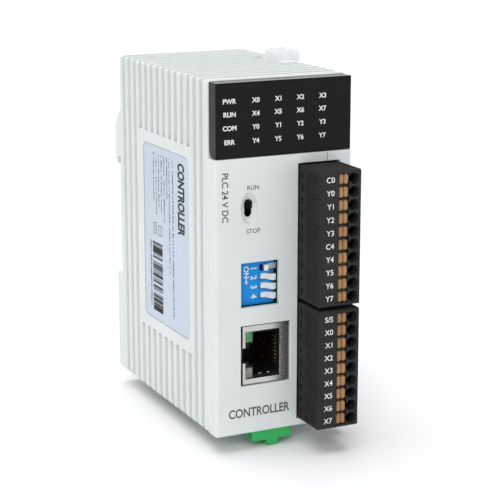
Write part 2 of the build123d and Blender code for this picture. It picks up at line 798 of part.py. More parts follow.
def make_power_plug_screws():
    """Three slotted clamp screws in the underside of the power plug."""
    screws = []
    for pin_place in power_pins_x:
        z_range = (plug_bottom_z + 0.9, -half_height + 0.2)
        screw = rod("z", 0.98, z_range[0], z_range[1], pin_place, clamp_screw_y)
        slot_z = (z_range[0] - 1, z_range[0] + 0.5)
        slot = brick(around(pin_place, 1.5), around(clamp_screw_y, 0.2), slot_z)
        screws.append(screw - slot)
    return Compound(children=screws)


# ---- rail clip, latches, expansion socket, label ----


def make_din_clip():
    """Sliding clip whose nose holds the lower edge of the rail; pulled down to release."""
    notch = rail_height / 2
    foot_z = -half_height - 4.5
    wide = brick(around(0, clip_half), (0.7, 2.0), (-half_height + 4, -notch - 0.4))
    neck = brick(around(0, clip_neck_half), (0.7, hook_y - 0.1), (foot_z, -notch - 0.4))
    nose_points = [
        (rail_flange_gap + 0.1, -notch - 0.6),
        (hook_y - 0.1, -notch - 0.6),
        (hook_y - 0.1, -notch + 0.6),
        (rail_flange_gap + 0.9, -notch + 2.0),
        (rail_flange_gap + 0.1, -notch + 2.0),
    ]
    nose = side_profile(nose_points, clip_neck_half)
    hole = brick(around(0, 2.6), (-1, hook_y + 1), (foot_z + 1.3, foot_z + 3.1))
    return wide + neck + nose - hole


def make_latch(sign):
    """Sliding coupling latch: flat sled under the wall and a ribbed thumb grip."""
    gap = 0.12
    face = sign * half_height
    sled_z = sorted((face - sign * 0.92, face - sign * 1.78))
    neck_z = sorted((face - sign * 1.0, face + sign * 0.6))
    grip_z = sorted((face + sign * 0.15, face + sign * latch_grip_height))
    sled = brick((latch_x[0] + gap, latch_x[1] - gap), latch_sled_y, sled_z)
    neck_y = (latch_sled_y[0] + 0.5, latch_sled_y[1] - 0.5)
    neck = brick((latch_x[0] + 1.0 + gap, latch_x[1] - 1.0 - gap), neck_y, neck_z)
    grip = brick(latch_grip_x, latch_grip_y, grip_z)
    outer = grip.edges().filter_by(Axis.Y).sort_by(Axis.Z)
    outer = outer[-2:] if sign > 0 else outer[:2]
    grip = fillet(outer, 1.3)
    ribs = []
    for index in range(3):
        rib_y = latch_grip_y[0] + 2.0 + index * 2.0
        rib_z = sorted((face + sign * (latch_grip_height - 0.35), face + sign * 5))
        ribs.append(brick((latch_grip_x[0] - 1, latch_grip_x[1] + 1), around(rib_y, 0.35), rib_z))
    return sled + neck + (grip - ribs)


def make_expansion_socket():
    """Two row socket for the next module, facing right."""
    body = brick((11.0, half_width - 0.6), socket_y, socket_z)
    bay_y = (socket_y[0] + 1.6, socket_y[1] - 1.6)
    bay_z = (socket_z[0] + 1.6, socket_z[1] - 1.6)
    body -= brick((13.5, half_width), bay_y, bay_z)
    island_y = around(sum(socket_y) / 2, 1.9)
    island = brick((13.0, half_width - 1.4), island_y, (socket_z[0] + 2.8, socket_z[1] - 2.8))
    for index in range(8):
        for row_y in (-18.4, -16.6):
            slot_z = around((index - 3.5) * socket_pitch, 0.5)
            island -= brick((half_width - 3.5, half_width), around(row_y, 0.4), slot_z)
    return body + island


def make_rating_label():
    """Thin printed label in the recess of the left flank."""
    size_y = label_y[1] - label_y[0] - 0.3
    size_z = label_z[1] - label_z[0] - 0.3
    sheet_face = RectangleRounded(size_y, size_z, 1.8)
    sheet_part = extrude(Plane.YZ * sheet_face, amount=0.2)
    return Pos(-half_width + label_depth - 0.2, sum(label_y) / 2, sum(label_z) / 2) * sheet_part


def all_nodes():
    """Every node of the module, by name."""
    nodes = {
        "main_housing": make_main_housing(),
        "front_cover": make_front_cover(),
        "indicator_window": make_indicator_window(),
        "light_guide": make_light_guide(),
        "indicator_leds": make_indicator_leds(),
        "front_board": make_front_board(),
        "main_board": make_main_board(),
        "io_board": make_io_board(),
        "board_screws": make_board_screws(),
        "processor": make_processor(),
        "power_transformer": make_power_transformer(),
        "power_capacitors": make_power_capacitors(),
        "optocouplers": make_optocouplers(),
        "rj45_shield": make_rj45_shield(),
        "rj45_insert": make_rj45_insert(),
        "rj45_contacts": make_rj45_contacts(),
        "rj45_lights": make_rj45_lights(),
        "dip_body": make_dip_body(),
        "mode_switch_body": make_mode_switch_body(),
        "mode_switch_knob": make_mode_switch_knob(),
        "terminal_block_upper": make_terminal_block(upper_heights),
        "terminal_block_lower": make_terminal_block(lower_heights),
        "terminal_header_upper": make_terminal_header(upper_heights),
        "terminal_header_lower": make_terminal_header(lower_heights),
        "terminal_pins_upper": make_terminal_pins(upper_heights),
        "terminal_pins_lower": make_terminal_pins(lower_heights),
        "clamp_springs_upper": make_clamp_springs(upper_heights),
        "clamp_springs_lower": make_clamp_springs(lower_heights),
        "power_header": make_power_header(),
        "power_header_pins": make_power_header_pins(),
        "power_plug": make_power_plug(),
        "power_plug_screws": make_power_plug_screws(),
        "din_clip": make_din_clip(),
        "top_latch": make_latch(1),
        "bottom_latch": make_latch(-1),
        "expansion_socket": make_expansion_socket(),
        "rating_label": make_rating_label(),
    }
    for number in range(1, 5):
        nodes[f"dip_lever_{number}"] = make_dip_lever(number)
    for number, pole_z in enumerate(upper_heights + lower_heights, start=1):
        nodes[f"release_button_{number:02d}"] = make_release_button(pole_z)
    return nodes


for name, node in all_nodes().items():
    export_step(node, f"parts/{name}.step")
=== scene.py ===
import json
import math
import bpy
import numpy as np
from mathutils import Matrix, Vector


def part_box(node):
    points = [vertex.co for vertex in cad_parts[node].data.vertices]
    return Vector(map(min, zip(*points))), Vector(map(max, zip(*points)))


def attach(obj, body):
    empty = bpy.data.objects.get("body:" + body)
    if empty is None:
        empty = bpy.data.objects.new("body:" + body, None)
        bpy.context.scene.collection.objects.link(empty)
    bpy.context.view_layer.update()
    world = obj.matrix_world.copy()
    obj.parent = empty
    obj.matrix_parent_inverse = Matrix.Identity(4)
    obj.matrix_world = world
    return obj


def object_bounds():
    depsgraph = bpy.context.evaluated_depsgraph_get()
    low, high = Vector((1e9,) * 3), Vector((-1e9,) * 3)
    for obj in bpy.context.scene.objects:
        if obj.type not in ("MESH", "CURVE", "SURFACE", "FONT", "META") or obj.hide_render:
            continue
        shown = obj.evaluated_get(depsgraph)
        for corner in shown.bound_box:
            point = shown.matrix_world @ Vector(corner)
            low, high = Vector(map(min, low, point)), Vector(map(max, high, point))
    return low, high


# Looks, lettering, floor, lights and camera for the controller module. Metres, Z up.

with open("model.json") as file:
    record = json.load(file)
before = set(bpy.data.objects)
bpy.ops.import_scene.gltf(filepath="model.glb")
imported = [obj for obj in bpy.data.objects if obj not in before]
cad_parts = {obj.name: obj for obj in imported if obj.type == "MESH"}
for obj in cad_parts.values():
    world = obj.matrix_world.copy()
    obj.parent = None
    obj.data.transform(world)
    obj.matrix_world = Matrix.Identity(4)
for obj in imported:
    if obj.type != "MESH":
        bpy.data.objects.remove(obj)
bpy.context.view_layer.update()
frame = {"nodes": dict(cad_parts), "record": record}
nodes = frame["nodes"]
mm = 0.001
print("frame loaded:", len(nodes), "nodes")


# Small helpers that add and link shader nodes.

def newMaterial(name, roughness, metallic=0.0):
    material = bpy.data.materials.new(name)
    material.use_nodes = True
    tree = material.node_tree
    shader = tree.nodes["Principled BSDF"]
    shader.inputs["Roughness"].default_value = roughness
    shader.inputs["Metallic"].default_value = metallic
    return material, tree, shader


def addNode(tree, kind, values=None, **settings):
    node = tree.nodes.new(kind)
    for key, value in settings.items():
        setattr(node, key, value)
    for key, value in (values or {}).items():
        node.inputs[key].default_value = value
    return node


def objectPlace(tree, stretch=(1, 1, 1)):
    place = addNode(tree, "ShaderNodeTexCoord")
    mapping = addNode(tree, "ShaderNodeMapping", {"Scale": stretch})
    tree.links.new(place.outputs["Object"], mapping.inputs["Vector"])
    return mapping.outputs["Vector"]


def noise(tree, place, size, detail=2.0, rough=0.5):
    # size is the width of one patch in metres
    made = addNode(tree, "ShaderNodeTexNoise", {"Scale": 1 / size, "Detail": detail, "Roughness": rough})
    tree.links.new(place, made.inputs["Vector"])
    return made.outputs["Fac"]


def remap(tree, value, low, high, newLow, newHigh):
    made = addNode(tree, "ShaderNodeMapRange", {
        "From Min": low, "From Max": high, "To Min": newLow, "To Max": newHigh})
    tree.links.new(value, made.inputs["Value"])
    return made.outputs["Result"]


def mixColour(tree, share, first, second):
    made = addNode(tree, "ShaderNodeMix", data_type="RGBA")
    for socket, colour in ((made.inputs["A"], first), (made.inputs["B"], second)):
        if isinstance(colour, bpy.types.NodeSocket):
            tree.links.new(colour, socket)
        else:
            socket.default_value = (*colour, 1)
    tree.links.new(share, made.inputs["Factor"])
    return made.outputs["Result"]


def math2(tree, operation, first, second):
    made = addNode(tree, "ShaderNodeMath", operation=operation)
    for socket, value in zip(made.inputs, (first, second)):
        if isinstance(value, bpy.types.NodeSocket):
            tree.links.new(value, socket)
        else:
            socket.default_value = value
    return made.outputs["Value"]


def edgeShare(tree, radius, low=0.04, high=0.35):
    # 0 on the flats, 1 on a sharp outer or inner edge: how far the rounded normal leans from the true one
    rounded = addNode(tree, "ShaderNodeBevel", {"Radius": radius}, samples=4)
    geometry = addNode(tree, "ShaderNodeNewGeometry")
    dot = addNode(tree, "ShaderNodeVectorMath", operation="DOT_PRODUCT")
    tree.links.new(rounded.outputs["Normal"], dot.inputs[0])
    tree.links.new(geometry.outputs["Normal"], dot.inputs[1])
    lean = math2(tree, "SUBTRACT", 1.0, dot.outputs["Value"])
    return remap(tree, lean, low, high, 0.0, 1.0), rounded.outputs["Normal"]


def recessShare(tree, look):
    # 0 in the open, rising in grooves and corners narrower than the reach: how much painted shade those get
    nearby = addNode(tree, "ShaderNodeAmbientOcclusion", {"Distance": look["recessReach"]},
                     samples=8, only_local=True)
    return remap(tree, nearby.outputs["AO"], 0.5, 0.92, look["recessShare"], 0.0)


def bump(tree, shader, height, distance, strength, under=None):
    made = addNode(tree, "ShaderNodeBump", {"Strength": strength, "Distance": distance})
    tree.links.new(height, made.inputs["Height"])
    if under is not None:
        tree.links.new(under, made.inputs["Normal"])
    tree.links.new(made.outputs["Normal"], shader.inputs["Normal"])


# Finishes. Colours are linear, lengths in metres; each plastic's own look adds to or replaces these.

plasticBasics = dict(mottleSize=0.012, grainSize=0.00022, grainDepth=0.00001, grainStrength=0.35, speckSize=0.0009,
                     speckShare=0.25, edgeRadius=0.00022, edgeAmount=0.5, specular=0.5, coat=0.0, coatRough=0.1)


def mouldedPlastic(name, look):
    # colour with slow mottling and specks, uneven gloss, fine grain in the bump, edges coloured towards the edge
    # colour (a painted highlight where that is paler, darker on the label film), painted shade in grooves
    material, tree, shader = newMaterial(name, look["rough"])
    place = objectPlace(tree)
    slow = noise(tree, place, look["mottleSize"], 3.0)
    fine = noise(tree, place, look["grainSize"], 3.0, 0.6)
    specks = noise(tree, place, look["speckSize"], 4.0, 0.75)
    base = mixColour(tree, remap(tree, slow, 0.35, 0.65, 0, 1), look["colour"], look["shade"])
    base = mixColour(tree, remap(tree, specks, 0.68, 0.78, 0, look["speckShare"]), base, look["speck"])
    edges, roundedNormal = edgeShare(tree, look["edgeRadius"])
    # painted highlight: edges coloured towards the look's edge colour, the strength varied by the slow mottle
    paintedEdgeShare = math2(tree, "MULTIPLY", edges, remap(tree, slow, 0.3, 0.7, 0.5, 1.0))
    paintedEdgeShare = math2(tree, "MULTIPLY", paintedEdgeShare, look["edgeAmount"])
    base = mixColour(tree, paintedEdgeShare, base, look["edge"])
    # painted shade: grooves and corners coloured towards the darker recess colour
    if "recess" in look:
        base = mixColour(tree, recessShare(tree, look), base, look["recess"])
    tree.links.new(base, shader.inputs["Base Color"])
    spread = look["roughSpread"]
    gloss = remap(tree, slow, 0.3, 0.7, look["rough"] - spread, look["rough"] + spread)
    tree.links.new(gloss, shader.inputs["Roughness"])
    bump(tree, shader, fine, look["grainDepth"], look["grainStrength"], roundedNormal)
    shader.inputs["IOR"].default_value = 1.5
    shader.inputs["Specular IOR Level"].default_value = look["specular"]
    shader.inputs["Coat Weight"].default_value = look["coat"]
    shader.inputs["Coat Roughness"].default_value = look["coatRough"]
    if "subsurface" in look:
        shader.inputs["Subsurface Weight"].default_value = look["subsurface"]
        shader.inputs["Subsurface Radius"].default_value = look["subsurfaceRadius"]
        shader.inputs["Subsurface Scale"].default_value = 0.001
    return material


metalBasics = dict(tarnishSize=0.004, lineShare=0.35, smoother=0.07, rougher=0.1, edgeRadius=0.00012,
                   edgeAmount=0.5, lineDepth=0.000006, lineStrength=0.3)


def rolledMetal(name, look):
    # sheet or pin: fine rolling lines along one axis, faint tarnish, a painted highlight on the edges
    material, tree, shader = newMaterial(name, look["rough"], 1.0)
    lines = noise(tree, objectPlace(tree, look["stretch"]), look["lineSize"], 3.0, 0.6)
    slow = noise(tree, objectPlace(tree), look["tarnishSize"], 3.0)
    base = mixColour(tree, remap(tree, slow, 0.35, 0.7, 0, 1), look["colour"], look["tarnish"])
    base = mixColour(tree, remap(tree, lines, 0.4, 0.75, 0, look["lineShare"]), base, look["shade"])
    # painted highlight: edges coloured towards the paler edge colour
    edges, roundedNormal = edgeShare(tree, look["edgeRadius"])
    base = mixColour(tree, math2(tree, "MULTIPLY", edges, look["edgeAmount"]), base, look["edge"])
    tree.links.new(base, shader.inputs["Base Color"])
    gloss = remap(tree, lines, 0.3, 0.7, look["rough"] - look["smoother"], look["rough"] + look["rougher"])
    tree.links.new(gloss, shader.inputs["Roughness"])
    bump(tree, shader, lines, look["lineDepth"], look["lineStrength"], roundedNormal)
    return material


boardLook = dict(trackScale=420.0, trackEdge=(0.42, 0.46), padScale=300.0, padEdge=(0.14, 0.10),
                 mask=(0.010, 0.10, 0.035), track=(0.022, 0.20, 0.07), pad=(0.75, 0.70, 0.52),
                 maskRough=0.42, trackRough=0.28, trackHeight=0.00003, trackStrength=0.4)


def circuitBoard(name, look):
    # solder mask over tracks: square cells give the tracks, a second, wider set of round ones the vias and pads
    material, tree, shader = newMaterial(name, look["maskRough"])
    place = objectPlace(tree)
    tracks = addNode(tree, "ShaderNodeTexVoronoi", {"Scale": look["trackScale"], "Randomness": 0.7},
                     feature="F1", distance="CHEBYCHEV")
    tree.links.new(place, tracks.inputs["Vector"])
    pads = addNode(tree, "ShaderNodeTexVoronoi", {"Scale": look["padScale"], "Randomness": 0.8}, feature="F1")
    tree.links.new(place, pads.inputs["Vector"])
    trackShare = remap(tree, tracks.outputs["Distance"], *look["trackEdge"], 0, 1)
    padShare = remap(tree, pads.outputs["Distance"], *look["padEdge"], 0, 1)
    base = mixColour(tree, trackShare, look["mask"], look["track"])
    base = mixColour(tree, padShare, base, look["pad"])
    tree.links.new(base, shader.inputs["Base Color"])
    gloss = remap(tree, trackShare, 0, 1, look["maskRough"], look["trackRough"])
    tree.links.new(gloss, shader.inputs["Roughness"])
    bump(tree, shader, trackShare, look["trackHeight"], look["trackStrength"])
    return material


windowLook = dict(colour=(0.007, 0.007, 0.008), dust=(0.06, 0.06, 0.06), dustSize=0.0005, dustShare=0.35,
                  edge=(0.07, 0.073, 0.073), edgeRadius=0.00025, edgeAmount=0.35, rough=0.07, haze=0.06,
                  hazeSize=0.009, hazeStretch=(1, 1, 0.35), specular=0.12)


def tintedWindow(name, look):
    # polished dark acrylic: wiping haze in the gloss, a few dust specks, a painted highlight on the edges
    material, tree, shader = newMaterial(name, look["rough"])
    haze = noise(tree, objectPlace(tree, look["hazeStretch"]), look["hazeSize"], 4.0, 0.55)
    dust = noise(tree, objectPlace(tree), look["dustSize"], 2.0, 0.8)
    base = mixColour(tree, remap(tree, dust, 0.74, 0.80, 0, look["dustShare"]), look["colour"], look["dust"])
    # painted highlight: edges coloured towards the paler edge colour
    edges, roundedNormal = edgeShare(tree, look["edgeRadius"])
    base = mixColour(tree, math2(tree, "MULTIPLY", edges, look["edgeAmount"]), base, look["edge"])
    tree.links.new(base, shader.inputs["Base Color"])
    gloss = remap(tree, haze, 0.35, 0.7, look["rough"], look["rough"] + look["haze"])
    tree.links.new(gloss, shader.inputs["Roughness"])
    shader.inputs["Specular IOR Level"].default_value = look["specular"]
    tree.links.new(roundedNormal, shader.inputs["Normal"])
    return material


pipeLook = dict(green=(0.012, 0.20, 0.05), straw=(0.13, 0.12, 0.095), cloud=(0.35, 0.48, 0.36), cloudSize=0.0008,
                cloudShare=0.5, blend=0.0005, rough=(0.08, 0.2), coat=0.8, coatRough=0.05)


def lightPipe(name, look):
    # clear moulding, tinted green above and straw below the socket's middle
    material, tree, shader = newMaterial(name, look["rough"][0])
    place = addNode(tree, "ShaderNodeTexCoord")
    split = addNode(tree, "ShaderNodeSeparateXYZ")
    tree.links.new(place.outputs["Object"], split.inputs["Vector"])
    low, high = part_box("rj45_lights")
    middle = (low.z + high.z) / 2
    upper = remap(tree, split.outputs["Z"], middle - look["blend"], middle + look["blend"], 0, 1)
    cloud = noise(tree, objectPlace(tree), look["cloudSize"], 3.0)
    tint = mixColour(tree, upper, look["straw"], look["green"])
    tint = mixColour(tree, remap(tree, cloud, 0.45, 0.75, 0, look["cloudShare"]), tint, look["cloud"])
    tree.links.new(tint, shader.inputs["Base Color"])
    tree.links.new(remap(tree, cloud, 0.3, 0.7, *look["rough"]), shader.inputs["Roughness"])
    shader.inputs["Coat Weight"].default_value = look["coat"]
    shader.inputs["Coat Roughness"].default_value = look["coatRough"]
    return material


# Each edge colour below is painted onto that plastic's edges: a painted highlight where it is paler, on the label
# film a darker edge.
plasticLooks = {
    "casePlastic": dict(colour=(0.735, 0.775, 0.765), shade=(0.72, 0.757, 0.745), speck=(0.66, 0.69, 0.68),
                        edge=(0.80, 0.83, 0.82), rough=0.46, roughSpread=0.04, edgeAmount=0.25, speckShare=0.06,
                        grainDepth=0.000006, edgeRadius=0.00007, specular=0.4,
                        # recess colour, reach and share: painted shade in the case's grooves and corners
                        recess=(0.36, 0.385, 0.38), recessReach=0.0014, recessShare=0.42),
    "clipPlastic": dict(colour=(0.70, 0.74, 0.73), shade=(0.66, 0.70, 0.69), speck=(0.5, 0.52, 0.51),
                        edge=(0.84, 0.87, 0.86), rough=0.45, roughSpread=0.05, edgeAmount=0.35, edgeRadius=0.0001),
    "latchPlastic": dict(colour=(0.84, 0.87, 0.875), shade=(0.81, 0.845, 0.85), speck=(0.74, 0.76, 0.76),
                         edge=(0.9, 0.92, 0.92), rough=0.32, roughSpread=0.05, edgeAmount=0.3,
                         subsurface=0.3, subsurfaceRadius=(1.2, 1.3, 1.3)),
    "terminalPlastic": dict(colour=(0.036, 0.037, 0.037), shade=(0.030, 0.031, 0.031), speck=(0.06, 0.06, 0.06),
                            edge=(0.075, 0.077, 0.078), rough=0.9, roughSpread=0.05, edgeAmount=0.25,
                            grainDepth=0.00002, grainStrength=0.5, specular=0.04, edgeRadius=0.0001),
    "blackPlastic": dict(colour=(0.012, 0.012, 0.013), shade=(0.009, 0.009, 0.010), speck=(0.04, 0.04, 0.04),
                         edge=(0.05, 0.05, 0.05), rough=0.5, roughSpread=0.06, edgeAmount=0.3, specular=0.2),
    "knobPlastic": dict(colour=(0.004, 0.005, 0.005), shade=(0.003, 0.003, 0.004), speck=(0.02, 0.02, 0.02),
                        edge=(0.03, 0.035, 0.033), rough=0.22, roughSpread=0.04, grainStrength=0.1,
                        specular=0.05, edgeRadius=0.0001),
    "amberPlastic": dict(colour=(0.38, 0.205, 0.085), shade=(0.31, 0.165, 0.065), speck=(0.42, 0.25, 0.12),
                         edge=(0.52, 0.32, 0.16), rough=0.34, roughSpread=0.06, edgeAmount=0.3, coat=0.12,
                         specular=0.35, edgeRadius=0.00012),
    "dipBlue": dict(colour=(0.006, 0.30, 0.82), shade=(0.005, 0.27, 0.76), speck=(0.05, 0.32, 0.8),
                    edge=(0.08, 0.42, 0.9), rough=0.42, roughSpread=0.05, edgeAmount=0.3, specular=0.25,
                    edgeRadius=0.00012),
    "leverWhite": dict(colour=(0.88, 0.89, 0.90), shade=(0.85, 0.86, 0.87), speck=(0.75, 0.75, 0.75),
                       edge=(0.93, 0.93, 0.93), rough=0.28, roughSpread=0.05, edgeAmount=0.3),
    "plugGreen": dict(colour=(0.050, 0.46, 0.125), shade=(0.042, 0.41, 0.105), speck=(0.12, 0.45, 0.18),
                      edge=(0.16, 0.52, 0.22), rough=0.5, roughSpread=0.06, edgeAmount=0.3, specular=0.15),
    "chipResin": dict(colour=(0.018, 0.018, 0.019), shade=(0.014, 0.014, 0.015), speck=(0.06, 0.06, 0.06),
                      edge=(0.06, 0.06, 0.06), rough=0.5, roughSpread=0.08, grainDepth=0.00003),
    "ferrite": dict(colour=(0.045, 0.043, 0.045), shade=(0.035, 0.033, 0.034), speck=(0.10, 0.09, 0.09),
                    edge=(0.10, 0.10, 0.10), rough=0.55, roughSpread=0.1, grainDepth=0.00004),
    "labelFilm": dict(colour=(0.55, 0.625, 0.73), shade=(0.535, 0.61, 0.715), speck=(0.58, 0.64, 0.73),
                      edge=(0.40, 0.44, 0.50), rough=0.34, roughSpread=0.04, edgeAmount=0.8, grainStrength=0.1,
                      speckShare=0.05, edgeRadius=0.0002),
    "ledResin": dict(colour=(0.62, 0.70, 0.55), shade=(0.55, 0.62, 0.48), speck=(0.8, 0.85, 0.7),
                     edge=(0.8, 0.85, 0.75), rough=0.2, roughSpread=0.04, coat=0.5),
    "clearGuide": dict(colour=(0.60, 0.66, 0.66), shade=(0.55, 0.61, 0.61), speck=(0.8, 0.85, 0.85),
                       edge=(0.85, 0.9, 0.9), rough=0.12, roughSpread=0.03, coat=0.6, grainStrength=0.05),
    "whiteInk": dict(colour=(0.83, 0.85, 0.87), shade=(0.78, 0.80, 0.82), speck=(0.6, 0.6, 0.6),
                     edge=(0.83, 0.85, 0.87), rough=0.5, roughSpread=0.05, edgeAmount=0.0, specular=0.2),
    "greyInk": dict(colour=(0.105, 0.11, 0.11), shade=(0.13, 0.135, 0.135), speck=(0.2, 0.2, 0.2),
                    edge=(0.11, 0.11, 0.11), rough=0.5, roughSpread=0.05, edgeAmount=0.0, specular=0.2),
    "blackInk": dict(colour=(0.012, 0.012, 0.014), shade=(0.018, 0.018, 0.020), speck=(0.1, 0.1, 0.1),
                     edge=(0.016, 0.016, 0.018), rough=0.5, roughSpread=0.05, edgeAmount=0.0, specular=0.2),
}
# Each edge colour below is a painted highlight along that metal's edges.
metalLooks = {
    "shieldSteel": dict(colour=(0.62, 0.62, 0.60), tarnish=(0.52, 0.52, 0.50), shade=(0.42, 0.42, 0.41),
                        edge=(0.8, 0.8, 0.79), rough=0.24, stretch=(1, 0.06, 1), lineSize=0.00012),
    "springSteel": dict(colour=(0.60, 0.60, 0.58), tarnish=(0.50, 0.50, 0.48), shade=(0.4, 0.4, 0.39),
                        edge=(0.8, 0.8, 0.79), rough=0.28, stretch=(1, 1, 0.06), lineSize=0.00012),
    "goldPlate": dict(colour=(0.90, 0.66, 0.26), tarnish=(0.82, 0.56, 0.2), shade=(0.7, 0.5, 0.2),
                      edge=(0.98, 0.82, 0.5), rough=0.22, stretch=(1, 0.1, 1), lineSize=0.0001),
    "tinPlate": dict(colour=(0.72, 0.71, 0.68), tarnish=(0.6, 0.59, 0.56), shade=(0.5, 0.5, 0.48),
                     edge=(0.85, 0.85, 0.83), rough=0.28, stretch=(1, 0.1, 1), lineSize=0.00012),
    "drawnCan": dict(colour=(0.70, 0.71, 0.73), tarnish=(0.62, 0.63, 0.65), shade=(0.5, 0.5, 0.52),
                     edge=(0.85, 0.85, 0.87), rough=0.3, stretch=(0.06, 1, 1), lineSize=0.00015),
}

finishes = {name: mouldedPlastic(name, {**plasticBasics, **look}) for name, look in plasticLooks.items()}
finishes.update({name: rolledMetal(name, {**metalBasics, **look}) for name, look in metalLooks.items()})
finishes["circuitBoard"] = circuitBoard("circuitBoard", boardLook)
finishes["windowTint"] = tintedWindow("windowTint", windowLook)
finishes["lightPipe"] = lightPipe("lightPipe", pipeLook)
print("finishes made:", len(finishes))

finishOfSlot = {
    "case_plastic": "casePlastic", "clip_plastic": "clipPlastic", "window_plastic": "windowTint",
    "clear_plastic": "clearGuide", "led_resin": "ledResin", "board_laminate": "circuitBoard",
    "bright_steel": "springSteel", "chip_resin": "chipResin", "ferrite": "ferrite", "capacitor_can": "drawnCan",
    "black_plastic": "blackPlastic", "terminal_plastic": "terminalPlastic", "gold_plate": "goldPlate",
    "tinned_brass": "tinPlate", "dip_blue": "dipBlue", "lever_white": "leverWhite",
    "amber_plastic": "amberPlastic", "plug_green": "plugGreen", "label_film": "labelFilm",
}
finishOfNode = {
    "rj45_shield": "shieldSteel", "rj45_lights": "lightPipe", "mode_switch_knob": "knobPlastic",
    "top_latch": "latchPlastic", "bottom_latch": "latchPlastic",
}
slotOfNode = {part["node"]: part["material_slot"] for part in frame["record"]["subparts"]}
for name, shown in nodes.items():
    shown.data.materials.clear()
    shown.data.materials.append(finishes[finishOfNode.get(name, finishOfSlot[slotOfNode[name]])])
print("finishes assigned")


# Pieces that carry print and small details.

def pieceFromArrays(name, points, faces, finish, body):
    mesh = bpy.data.meshes.new(name)
    mesh.from_pydata(points.tolist(), [], faces)
    mesh.update()
    piece = bpy.data.objects.new(name, mesh)
    bpy.context.scene.collection.objects.link(piece)
    mesh.materials.append(finishes[finish])
    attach(piece, body)
    return piece


capitalShare = 0.73  # height of a capital in Blender's own font, for a size of one


def letterShape(text, height, boldness=0.0, stretch=1.0):
    # outline of a word as points (right, up) centred on the origin, with its faces
    curve = bpy.data.curves.new("word", "FONT")
    curve.body = text
    curve.size = height / capitalShare
    curve.offset = boldness
    curve.resolution_u = 4
    curve.fill_mode = "FRONT"
    word = bpy.data.objects.new("word", curve)
    bpy.context.scene.collection.objects.link(word)
    bpy.context.view_layer.update()
    evaluated = word.evaluated_get(bpy.context.evaluated_depsgraph_get())
    mesh = bpy.data.meshes.new_from_object(evaluated)
    count = len(mesh.vertices)
    flat = np.zeros(count * 3)
    mesh.vertices.foreach_get("co", flat)
    flat = flat.reshape(-1, 3)[:, :2]
    faces = [list(polygon.vertices) for polygon in mesh.polygons]
    bpy.data.objects.remove(word)
    bpy.data.curves.remove(curve)
    bpy.data.meshes.remove(mesh)
    flat -= (flat.min(0) + flat.max(0)) / 2
    flat[:, 0] *= stretch
    return flat, faces


def barShape(width, height):
    # a rectangle centred on the origin
    flat = np.array([(-1, -1), (1, -1), (1, 1), (-1, 1)]) * (width / 2, height / 2)
    return flat, [[0, 1, 2, 3]]


class PrintSheet:
    # collects flat marks and lays them on a face: centre + right * u + up * v, ink standing a hair proud
    def __init__(self, right, up):
        self.right = np.array(right, float)
        self.up = np.array(up, float)
        self.points = []
        self.faces = []
        self.count = 0

    def add(self, shape, centre, turn=0.0):
        flat, faces = shape
        c, s = math.cos(math.radians(turn)), math.sin(math.radians(turn))
        turned = flat @ np.array([(c, s), (-s, c)])
        placed = np.array(centre) + turned[:, :1] * self.right + turned[:, 1:] * self.up
        self.points.append(placed)
        self.faces += [[i + self.count for i in face] for face in faces]
        self.count += len(flat)

    def lay(self, name, finish, body):
        return pieceFromArrays(name, np.concatenate(self.points), self.faces, finish, body)


frontRight, frontUp = (1, 0, 0), (0, 0, 1)
ink = 0.015 * mm  # how far print stands off its face

windowPrint = dict(letterHeight=1.26, boldness=0.05, columns=(-15.76, -8.35, -1.95, 4.5, 11.0),
                   rows=(42.4, 39.0, 35.5, 31.9))
windowWords = (("PWR", "X0", "X1", "X2", "X3"), ("RUN", "X4", "X5", "X6", "X7"),
               ("COM", "Y0", "Y1", "Y2", "Y3"), ("ERR", "Y4", "Y5", "Y6", "Y7"))
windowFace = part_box("indicator_window")[0].y
sheet = PrintSheet(frontRight, frontUp)
for row, words in zip(windowPrint["rows"], windowWords):
    for column, word in zip(windowPrint["columns"], words):
        shape = letterShape(word, windowPrint["letterHeight"] * mm, windowPrint["boldness"] * mm)
        sheet.add(shape, (column * mm, windowFace - ink, row * mm))
sheet.lay("windowLegend", "whiteInk", "case")

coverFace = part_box("front_cover")[0].y
sheet = PrintSheet(frontRight, frontUp)
# word, letter height, boldness, stretch, middle X, middle Z, turn
coverPrint = (("RUN", 1.25, 0.02, 1.0, -9.1, 19.6, 0), ("STOP", 1.25, 0.02, 1.0, -9.0, 8.1, 0),
              ("PLC 24 V DC", 1.8, 0.05, 0.95, -17.1, 17.5, -90),
              ("CONTROLLER", 2.5, 0.09, 0.82, -7.2, -41.5, 0))
for word, height, boldness, stretch, x, z, turn in coverPrint:
    sheet.add(letterShape(word, height * mm, boldness * mm, stretch), (x * mm, coverFace - ink, z * mm), turn)
sheet.lay("coverLegend", "greyInk", "case")

dipPrint = dict(pitch=2.54, digitHeight=1.7, digitInset=4.9, digitBoldness=0.06, wordHeight=1.5, wordInset=2.7,
                wordBoldness=0.05, wordDrop=3.1, arrowDrop=5.6, arrowHalf=0.85)
dipLow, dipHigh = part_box("dip_body")
dipMiddle = (dipLow + dipHigh) / 2
sheet = PrintSheet(frontRight, frontUp)
for number in range(1, 5):
    place = (dipLow.x + dipPrint["digitInset"] * mm, dipLow.y - ink,
             dipMiddle.z + (2.5 - number) * dipPrint["pitch"] * mm)
    digit = letterShape(str(number), dipPrint["digitHeight"] * mm, dipPrint["digitBoldness"] * mm)
    sheet.add(digit, place, -90)
wordX = dipLow.x + dipPrint["wordInset"] * mm
wordPlace = (wordX, dipLow.y - ink, dipHigh.z - dipPrint["wordDrop"] * mm)
sheet.add(letterShape("ON", dipPrint["wordHeight"] * mm, dipPrint["wordBoldness"] * mm), wordPlace, -90)
